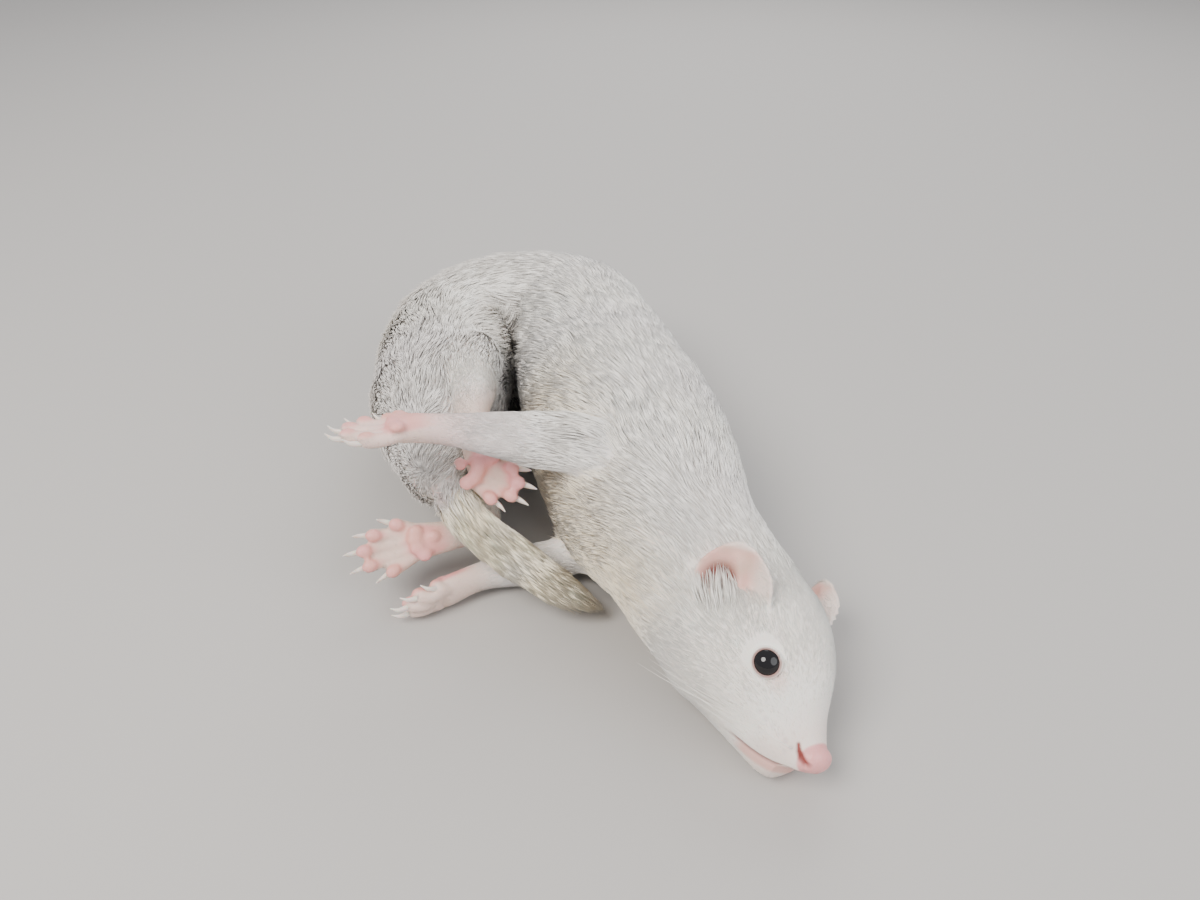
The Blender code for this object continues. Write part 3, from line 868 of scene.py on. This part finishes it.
def paint_body(points, facts):
    """Return the tone of each skin point, painted shade included, but for the marks of the head."""
    part, t, down, foot = [facts[key] for key in ("part", "t", "down", "foot")]
    on_body = part == 0
    behind_head = ramp(t, 40.0, 60.0)
    throat = ramp(facts["belly"], -0.45, 0.7) * behind_head * (1.0 - ramp(t, 118.0, 150.0))
    tail_tone = mix(TAIL_CREAM, WHITE, 0.2 + 0.2 * ripple(points, 8.0, 5))
    # Pink feet, the hind ones half in painted shade
    foot_tone = mix(PALE_PINK, SHADED_PINK, (part >= 4) * 0.5)
    sole_tone = mix(PINK, ROSE, 0.5 + 0.5 * ripple(points, 5.0, 8))
    return paint(WHITE, [
        # Painted shade over the body, varied by random ripples; the lit head is then kept white
        (PAINTED_SHADE, 0.35 + 0.35 * ripple(points, 22.0, 3)),
        (WHITE, (1.0 - behind_head) * on_body),
        (CREAM, throat * on_body),
        # More painted shade on the hips
        (PAINTED_SHADE, 0.5 * ramp(t, 240.0, 300.0) * on_body),
        (tail_tone, 1.0 * (part == 1)),
        # Painted shade, grey-lilac, on the middle of the right foreleg
        (LILAC, 0.5 * ramp(down, 0.4, 0.8) * (part == 2)),
        (PINK, 0.4 * ramp(down, 0.7, 1.0) * (part == 2)),
        # Painted shade on the lower ends of the left foreleg and both hind legs
        (SHADED_PINK, 0.5 * ramp(down, 0.75, 1.0) * (part >= 3)),
        (foot_tone, 0.7 * foot),
        (sole_tone, facts["bare"]),
        (PINK, 0.7 * facts["rump"]),
    ])


def rump_places():
    """Return the middles of the two bare folds under the tail."""
    end = BODY.smooth(BODY.places, BODY.length)
    return end + np.array([-7.6, -3.6, 3.0]), end + np.array([-2.0, -5.0, 1.0])


def rump_share(points):
    """Return how near each point is to the bare folds under the tail."""
    return np.maximum(*[bump_round(points, place, 6.0) for place in rump_places()])


def finish_head(points, facts, marks):
    """Add the bare places of the head to the tones, with painted shade in its hollows, and thin and
    turn the hair there.
    """
    local = head_places(points)
    mirrored = mirror(local)
    ahead = local[:, 0]
    pad = ramp(-lengths((mirrored - NOSE_PLACE) / (NOSE_SIZE + 0.5)), -1.15, -1.0) * (ahead > -5.6)
    drop = np.interp(-ahead, LIP_BACK, LIP_HEIGHT) - local[:, 1]
    below = ramp(drop, -0.2, 0.5) * (1.0 - ramp(drop, 2.6, 4.2))
    lips = below * ramp(ahead, -16.0, -12.0) * (ahead < 1.0)
    bare_eye = bump_round(mirrored, EYE_CORNER, 4.5)
    facts["pad"] = pad
    facts["tone"] = paint(facts["tone"], [
        (PALE_PINK, 0.45 * ramp(ahead, -16.0, -5.0) * (ahead < 2.0) * (lengths(local) < 30.0)),
        (PINK, 0.35 * bare_eye),
        (PINK, 0.75 * lips),
        (ROSE, pad),
        # Painted shade in the nostrils and along the line of the mouth
        (HOLLOW_SHADE, marks["nostril"]),
        (HOLLOW_SHADE, 0.85 * marks["mouth"] * (ahead > -MOUTH_CORNER)),
        (LID, 0.9 * marks["lid"]),
        (PALE_PINK, 0.5 * marks["ear"]),
        # The ears' faces: own pink skin mixed with painted shade, then painted shade in the canals
        (mix(PINK, SHADED_PINK, 0.35 + 0.35 * ripple(points, 4.0, 9)), 0.85 * marks["ear_face"]),
        (HOLLOW_SHADE, 0.9 * marks["canal"]),
        (LILAC * 0.7, 0.5 * whisker_spots(mirrored)),
    ])
    raise_ear_fringe(local, facts, marks["ear"])
    lost = np.maximum.reduce([
        pad, lips, marks["nostril"], marks["mouth"] * 0.8, marks["ear_face"] * 0.93, marks["canal"],
        0.5 * bare_eye, 0.7 * ramp(ahead, -26.0, -12.0) * (lengths(local) < 32.0),
        ramp(EYE_RADIUS + 1.6 - lengths(mirrored - EYE_PLACE), 0.0, 0.8),
    ])
    facts["hair"] = np.clip(facts["hair"] - lost, 0.0, 1.0)


def whisker_spots(mirrored):
    """Return how near each point is to the root of a whisker."""
    return np.maximum.reduce([bump_round(mirrored, place, 1.3) for place in whisker_places()])


def raise_ear_fringe(local, facts, in_ear):
    """Raise longer hair in front of the ears, and shorten it on them."""
    along, rise, facing = ear_axes()
    base = EAR_PLACE + 2.5 * along - 6.0 * rise - 1.0 * facing
    fringe = bump_round(mirror(local), base, 9.0) * (1.0 - in_ear)
    ones = np.ones(len(local))
    upward = rise * np.stack([ones, ones, np.sign(local[:, 2])], axis=1)
    facts["flow"] = units(facts["flow"] + 1.4 * fringe[:, None] * (upward @ HEAD_AXES))
    facts["lift"] = facts["lift"] + 0.5 * fringe
    facts["length"] = np.where(in_ear > 0.3, 1.6, facts["length"] + 3.0 * fringe)


def write_tone(mesh, tones):
    """Store tones on the mesh for its material."""
    layer = mesh.color_attributes.new("tone", "FLOAT_COLOR", "POINT")
    data = np.ones((len(tones), 4))
    data[:, :3] = tones
    layer.data.foreach_set("color", data.ravel())


def store(mesh, name, kind, field, values):
    """Store a value for each vertex on the mesh, for its material."""
    mesh.attributes.new(name, kind, "POINT").data.foreach_set(field, values.ravel())


def sculpt_head(points):
    """Move the points of the head to its finest shapes, and return the share of each mark."""
    local = head_places(points)
    chosen = np.where((local[:, 0] > -62.0) & (lengths(local) < HEAD_REACH))[0]
    head = local[chosen]
    shape_muzzle(head)
    found = [carve_mouth(head), carve_nose(head), *carve_ears(head), wrap_lids(head)]
    points[chosen] = NOSE_TIP + head @ HEAD_AXES
    marks = {}
    for name, share in zip(("mouth", "nostril", "ear", "ear_face", "canal", "lid"), found):
        marks[name] = np.zeros(len(points))
        marks[name][chosen] = share
    return marks


def finish_skin(obj):
    """Sculpt the head, and return the facts that the coat needs."""
    mesh = obj.data
    points = read_vectors(mesh.vertices, "co")
    marks = sculpt_head(points)
    mesh.vertices.foreach_set("co", points.ravel())
    mesh.update()
    normals = read_vectors(mesh.vertex_normals, "vector")
    facts = describe(points, normals, Lie().read(points))
    add_coat_sizes(facts)
    facts["tone"] = paint_body(points, facts)
    finish_head(points, facts, marks)
    facts["points"] = points
    facts["normals"] = normals
    write_tone(mesh, mix(facts["tone"], PALE_PINK, 0.18 * facts["hair"]))
    streak = np.stack([facts["t"], facts["angle"] * 18.0, facts["part"] * 40.0], axis=1)
    store(mesh, "streak", "FLOAT_VECTOR", "vector", streak)
    store(mesh, "wet", "FLOAT", "value", np.clip(facts["pad"] + 0.5 * facts["bare"], 0.0, 1.0))
    store(mesh, "furred", "FLOAT", "value", facts["hair"])
    mesh.vertices.foreach_set("co", ((points - MIDDLE) * MM).ravel())
    mesh.update()
    return facts


def sample_roots(mesh, weights, count):
    """Return triangle corners and shares of random points, by area and weight."""
    mesh.calc_loop_triangles()
    corners = np.empty(len(mesh.loop_triangles) * 3, np.int32)
    mesh.loop_triangles.foreach_get("vertices", corners)
    corners = corners.reshape(-1, 3)
    points = read_vectors(mesh.vertices, "co") / MM
    a, b, c = (points[corners[:, i]] for i in range(3))
    areas = lengths(np.cross(b - a, c - a)) / 2 * weights[corners].mean(1)
    chance = np.cumsum(areas)
    picks = np.searchsorted(chance, RNG.uniform(0.0, chance[-1], count))
    picks = np.minimum(picks, len(corners) - 1)
    first = np.sqrt(RNG.uniform(size=count))
    second = RNG.uniform(size=count)
    shares = np.stack([1.0 - first, first * (1.0 - second), first * second], axis=1)
    return corners[picks], shares


def bake_places(part, t, angle):
    """Return each root's place on an unwrap of the skin's lofts, one column for each."""
    lengths = np.array([BODY.length, TAIL_LOFT.length, *[loft.length for loft in LIMB_LOFTS]])
    starts = np.array([0.02, 0.56, 0.64, 0.73, 0.82, 0.91])
    widths = np.array([0.52, 0.07, 0.08, 0.08, 0.08, 0.08])
    u = starts[part] + widths[part] * (angle / (2 * pi) + 0.5)
    v = 0.02 + 0.96 * np.clip(t / lengths[part], 0.0, 1.0)
    return np.stack([u, v], axis=1)


def clump_tips(roots, tips, size, pull):
    """Draw the tips of neighbouring tufts together into locks."""
    count = max(int(len(roots) / size), 1)
    leaders = RNG.choice(len(roots), count, replace=False)
    tree = KDTree(count)
    for i, leader in enumerate(leaders):
        tree.insert(roots[leader], i)
    tree.balance()
    own = np.array([tree.find(root)[1] for root in roots])
    target = tips[leaders[own]]
    share = pull * RNG.uniform(0.4, 1.0, len(roots))[:, None]
    return tips + share * (target - tips)


def tuft_shapes(root, middle, tip, side, lift, width, bent):
    """Return the points and faces of closed three-sided tufts, bent at the middle or straight."""
    turns = np.array([0.0, 2 * pi / 3, 4 * pi / 3]) + pi / 2
    spreads = [cos(turn) * side + 0.55 * sin(turn) * lift for turn in turns]
    rows = [root + 0.5 * width[:, None] * spread for spread in spreads]
    faces = [(0, 2, 1), (0, 1, 3), (1, 2, 3), (2, 0, 3)]
    if bent:
        rows += [middle + 0.42 * width[:, None] * spread for spread in spreads]
        faces = [
            (0, 2, 1), (0, 1, 4), (0, 4, 3), (1, 2, 5), (1, 5, 4),
            (2, 0, 3), (2, 3, 5), (3, 4, 6), (4, 5, 6), (5, 3, 6),
        ]
    verts = np.stack([*rows, tip], axis=1)
    verts[..., 2] = np.maximum(verts[..., 2], HAIR_FLOOR)
    return verts, np.array(faces)


def build_tufts(name, verts, tris, tones, places):
    """Make one mesh of many like tufts, with their tones and their places for baking."""
    count, per = verts.shape[:2]
    faces = (tris[None] + (np.arange(count) * per)[:, None, None]).reshape(-1, 3)
    mesh = bpy.data.meshes.new(name)
    mesh.vertices.add(count * per)
    mesh.vertices.foreach_set("co", ((verts.reshape(-1, 3) - MIDDLE) * MM).ravel())
    mesh.loops.add(len(faces) * 3)
    mesh.loops.foreach_set("vertex_index", faces.ravel().astype(np.int32))
    mesh.polygons.add(len(faces))
    mesh.polygons.foreach_set("loop_start", np.arange(0, len(faces) * 3, 3, dtype=np.int32))
    mesh.update(calc_edges=True)
    write_tone(mesh, np.repeat(tones, per, axis=0))
    turns = np.arange(per) * 2 * pi / 3
    rings = np.where(np.arange(per) < 3, 0.5, 0.25)
    rings[-1] = 0.0
    patch = BAKE_PATCH * np.stack([rings * np.cos(turns), rings * np.sin(turns)], axis=1)
    uv = (places[:, None, :] + patch[None]).reshape(-1, 2)[faces.ravel()]
    mesh.uv_layers.new(name="OFBake").data.foreach_set("uv", uv.ravel())
    return link_object(name, mesh)


def grow_coat(obj, facts, density, kind, material):
    """Grow one kind of tuft over part of the skin, in pieces of limited size."""
    label, count, thickness, long, steep, crowd, pull, bent = kind
    corners, shares = sample_roots(obj.data, density, count)

    def spread(name):
        """Read a fact about the skin at each root."""
        values = facts[name]
        if values.ndim == 1:
            return (values[corners] * shares).sum(1)
        return (values[corners] * shares[:, :, None]).sum(1)

    main_corner = corners[np.arange(count), np.argmax(shares, axis=1)]
    part, place, angle = [facts[name][main_corner] for name in ("part", "t", "angle")]
    root = spread("points")
    normal = units(spread("normals"))
    flow = spread("flow")
    flow = units(flow - (flow * normal).sum(1)[:, None] * normal)
    length = long * spread("length") * RNG.uniform(0.75, 1.12, count)
    sway = 0.15 * ripple(root, 16.0, 11) + 0.09 * ripple(root, 5.0, 12) + RNG.normal(0, 0.07, count)
    sway *= np.where(part == 1, 0.35, 1.0)
    flow = units(flow + sway[:, None] * np.cross(normal, flow))
    side = np.cross(normal, flow)
    rise = spread("lift") * steep
    rise *= 1.0 + 0.18 * ripple(root, 6.0, 13) + RNG.normal(0, 0.14, count)
    tip = root + length[:, None] * (flow + np.clip(rise, 0.02, 0.7)[:, None] * normal)
    tip = clump_tips(root, tip, crowd, pull)
    middle = root + 0.5 * (tip - root) + (0.045 * length)[:, None] * normal
    width = thickness * np.sqrt(length) * RNG.uniform(0.7, 1.2, count)
    shade = 1.0 + 0.04 * ripple(root, 4.0, 14) + RNG.normal(0, 0.03, count)
    # The tufts take the skin's tones, painted shade included, lightened a little towards white
    tones = mix(spread("tone"), WHITE, np.full(count, 0.2)) * shade[:, None]
    tones = np.clip(tones, 0.0, BRIGHTEST)
    places = bake_places(part, place, angle)
    verts, faces = tuft_shapes(root - 0.25 * normal, middle, tip, side, normal, width, bent)
    order = np.argsort(part * 1000.0 + place, kind="stable")
    most = MOST_FACES // len(faces)
    for number, start in enumerate(range(0, count, most)):
        pick = order[start:start + most]
        name = "coat_%s_%d" % (label, number + 1)
        piece = build_tufts(name, verts[pick], faces, tones[pick], places[pick])
        piece.data.materials.append(material)
        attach(piece, "root")


def feed(tree, node, inputs):
    """Set each named input of a node to a value, or link it to a socket."""
    for name, source in inputs.items():
        if isinstance(source, bpy.types.NodeSocket):
            tree.links.new(source, node.inputs[name])
        else:
            node.inputs[name].default_value = source


def add_node(tree, kind, output, inputs):
    """Add a shader node with its inputs, and return one of its outputs."""
    node = tree.nodes.new("ShaderNode" + kind)
    feed(tree, node, inputs)
    return node.outputs[output]


def stored(tree, name, output="Fac"):
    """Add a node that reads what is stored on the mesh, and return one of its outputs."""
    node = tree.nodes.new("ShaderNodeAttribute")
    node.attribute_name = name
    return node.outputs[output]


def make_material(name, inputs, toned=False):
    """Make a material, with values for its shader, and with the stored tones if it is toned."""
    material = bpy.data.materials.new(name)
    material.use_nodes = True
    tree = material.node_tree
    shader = tree.nodes["Principled BSDF"]
    feed(tree, shader, inputs)
    if toned:
        feed(tree, shader, {"Base Color": stored(tree, "tone", "Color")})
    return material


def skin_material():
    """Make the skin: stored tones, fine streaks where it is furred, and moist bare places."""
    material = make_material("skin", {
        "Roughness": 0.6,
        "Subsurface Weight": 0.12,
        "Subsurface Radius": (0.9, 0.35, 0.2),
        "Subsurface Scale": 0.0012,
    }, toned=True)
    tree = material.node_tree
    place = stored(tree, "streak", "Vector")
    place = add_node(tree, "Mapping", "Vector", {"Vector": place, "Scale": (0.35, 2.2, 1.0)})
    hairs = add_node(tree, "TexNoise", "Fac", {"Vector": place, "Scale": 1.0, "Detail": 3.0})
    place = add_node(tree, "TexCoord", "Object", {})
    grain = add_node(tree, "TexNoise", "Fac", {"Vector": place, "Scale": 1800.0, "Detail": 2.0})
    furred = stored(tree, "furred")
    height = add_node(tree, "Mix", "Result", {"Factor": furred, "A": grain, "B": hairs})
    bump = {"Height": height, "Strength": 0.35, "Distance": 0.0004}
    rough = {"Value": stored(tree, "wet"), "To Min": 0.62, "To Max": 0.36}
    feed(tree, tree.nodes["Principled BSDF"], {
        "Normal": add_node(tree, "Bump", "Normal", bump),
        "Roughness": add_node(tree, "MapRange", "Result", rough),
    })
    return material


def coat_material():
    """Make the hair: stored tones with a soft sheen."""
    return make_material("coat", {
        "Roughness": 0.55,
        "Specular IOR Level": 0.35,
        "Sheen Weight": 0.35,
        "Sheen Roughness": 0.5,
    }, toned=True)


def make_eyes():
    """Make both eyeballs, dark and wet."""
    material = make_material("eye", {
        "Base Color": (0.006, 0.005, 0.006, 1.0),
        "Roughness": 0.04,
        "Specular IOR Level": 0.45,
    })
    for name, side in (("eye_right", 1.0), ("eye_left", -1.0)):
        bm = bmesh.new()
        made = bmesh.ops.create_uvsphere(bm, u_segments=64, v_segments=40, radius=EYE_RADIUS)
        centre = head_point(EYE_PLACE, side)
        for vert in made["verts"]:
            vert.co = centre + np.array(vert.co)
        obj = make_object("look_" + name, bm)
        obj.data.materials.append(material)
        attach(obj, "root")
        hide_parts(name)


def make_claws():
    """Make the claws of each foot as one piece."""
    material = make_material("claw", {
        "Base Color": (0.80, 0.72, 0.64, 1.0),
        "Roughness": 0.28,
        "Subsurface Weight": 0.3,
        "Subsurface Scale": 0.0008,
    })
    for limb in LIMBS:
        bm = bmesh.new()
        for digit in DIGITS:
            _, _, _, (root, middle, end), ahead = digit_line(limb, digit)
            loft = Loft([
                (root - ahead, 0.9, 1.1, 0.0),
                (root + 1.2 * ahead, 0.75, 0.95, 0.0),
                (middle, 0.5, 0.7, 0.0),
                (end, 0.12, 0.12, 0.0),
            ])
            add_rings(bm, [claw_ring(loft, t) for t in np.linspace(0.0, loft.length, 14)])
        obj = make_object("claws_" + limb[0], bm)
        obj.data.materials.append(material)
        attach(obj, "root")


def claw_ring(loft, t):
    """Return a section of a claw, square to the claw's own line."""
    ahead = loft.smooth(loft.places, max(t - 0.4, 0.0))
    behind = loft.smooth(loft.places, min(t + 0.4, loft.length))
    forward = unit(ahead - behind)
    level = unit(np.cross(UP, forward))
    lift = np.cross(forward, level)
    deep, wide, _ = loft.smooth(loft.rows, t)
    angles = np.arange(12) * 2 * pi / 12
    ring = loft.smooth(loft.places, t) + deep * np.cos(angles)[:, None] * level
    ring = ring + wide * np.sin(angles)[:, None] * lift
    ring[:, 2] = np.maximum(ring[:, 2], HAIR_FLOOR)
    return ring


def make_whiskers(material):
    """Make the whiskers of both sides, swept back from the pads, as thin curved cones."""
    bm = bmesh.new()
    for number, place in enumerate(whisker_places()):
        column = number % WHISKER_COLUMNS
        for side in (1.0, -1.0):
            length = 13.0 + 3.2 * column + RNG.uniform(-2.0, 2.0)
            out = unit(np.array([-0.95, -0.45 - 0.05 * column, 0.72]) + RNG.normal(0, 0.06, 3))
            add_rings(bm, [whisker_ring(place, out, length, x, side) for x in np.linspace(0, 1, 9)])
    obj = make_object("whiskers", bm)
    write_tone(obj.data, np.tile(WHITE, (len(obj.data.vertices), 1)))
    obj.data.materials.append(material)
    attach(obj, "root")


def whisker_places():
    """Return the roots of the whiskers on the right side of the muzzle, row by row."""
    rows, columns = np.divmod(np.arange(4 * WHISKER_COLUMNS), WHISKER_COLUMNS)
    back = -5.2 - 2.1 * columns - 0.6 * rows
    down = -2.0 - 2.1 * rows - 0.30 * columns
    out = 7.6 + 0.85 * columns - 0.30 * rows
    return np.stack([back, down, out], axis=1)


def whisker_ring(place, out, length, x, side):
    """Return a section of a whisker at a share of its length, swept back towards its tip."""
    centre = place + length * (x * out + 0.3 * x * x * np.array([-0.6, -0.2, -0.7]))
    thick = 0.13 * (1.0 - x) ** 0.8 + 0.012
    across = unit(np.cross(out, HEAD_UP_LOCAL))
    other = np.cross(out, across)
    angles = np.arange(5) * 2 * pi / 5
    ring = [centre + thick * (cos(a) * across + sin(a) * other) for a in angles]
    ring = np.array([head_point(point, side) for point in ring])
    ring[:, 2] = np.maximum(ring[:, 2], HAIR_FLOOR + 0.2 * np.arange(5) / 5)
    return ring


def make_stage():
    """Make the pale floor, the soft lights and the camera."""
    bpy.ops.mesh.primitive_plane_add(size=6.0, location=(0.0, 0.0, -0.0002))
    floor = bpy.context.object
    floor.name = "floor"
    material = make_material("floor", {"Base Color": (0.46, 0.44, 0.42, 1.0), "Roughness": 0.8})
    floor.data.materials.append(material)
    for name, place, size, power, tone in (
        ("key", (-0.45, -0.50, 0.85), 0.55, 13.0, (1.0, 0.96, 0.91)),
        ("fill", (0.75, -0.55, 0.55), 0.9, 6.0, (0.95, 0.97, 1.0)),
        ("rim", (0.15, 0.85, 0.75), 0.8, 6.0, (1.0, 1.0, 1.0)),
    ):
        light = bpy.data.lights.new(name, "AREA")
        light.shape = "DISK"
        light.size = size
        light.energy = power
        light.color = tone
        lamp = link_object(name, light)
        lamp.location = place
        lamp.rotation_euler = direction_to_euler(-np.array(place))
    world = bpy.context.scene.world or bpy.data.worlds.new("world")
    bpy.context.scene.world = world
    world.use_nodes = True
    background = world.node_tree.nodes["Background"]
    feed(world.node_tree, background, {"Color": (0.88, 0.90, 0.94, 1.0), "Strength": 0.75})
    camera = bpy.data.cameras.new("camera")
    camera.lens = CAMERA_LENS
    camera.sensor_width = 36.0
    camera.clip_start = 0.01
    eye = link_object("camera", camera)
    eye.location = (CAMERA_PLACE - MIDDLE) * MM
    eye.rotation_euler = (radians(90.0 - CAMERA_DOWN), 0.0, 0.0)
    bpy.context.scene.camera = eye


def direction_to_euler(direction):
    """Return the turn that aims a light along a direction."""
    x, y, z = unit(direction)
    return np.arccos(-z), 0.0, np.arctan2(-x, y)


def main():
    """Make everything that is shown."""
    skin = make_raw_skin()
    facts = finish_skin(skin)
    skin.data.materials.append(skin_material())
    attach(skin, "root")
    flesh = [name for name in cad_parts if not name.startswith("eye_")]
    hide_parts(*flesh)
    hair = coat_material()
    length, share = facts["length"], facts["hair"]
    is_long = ramp(length, 4.6, 6.0)
    tail_boost = np.where(facts["part"] == 1, 2.2, 1.0)
    short_fur = share * (1.0 - is_long) * np.interp(length, [1.0, 5.0], [2.2, 1.0])
    grow_coat(skin, facts, share * is_long * tail_boost, LONG_TUFTS, hair)
    grow_coat(skin, facts, share * is_long, UNDER_TUFTS, hair)
    grow_coat(skin, facts, short_fur, SHORT_TUFTS, hair)
    make_eyes()
    make_claws()
    make_whiskers(hair)
    make_stage()


main()
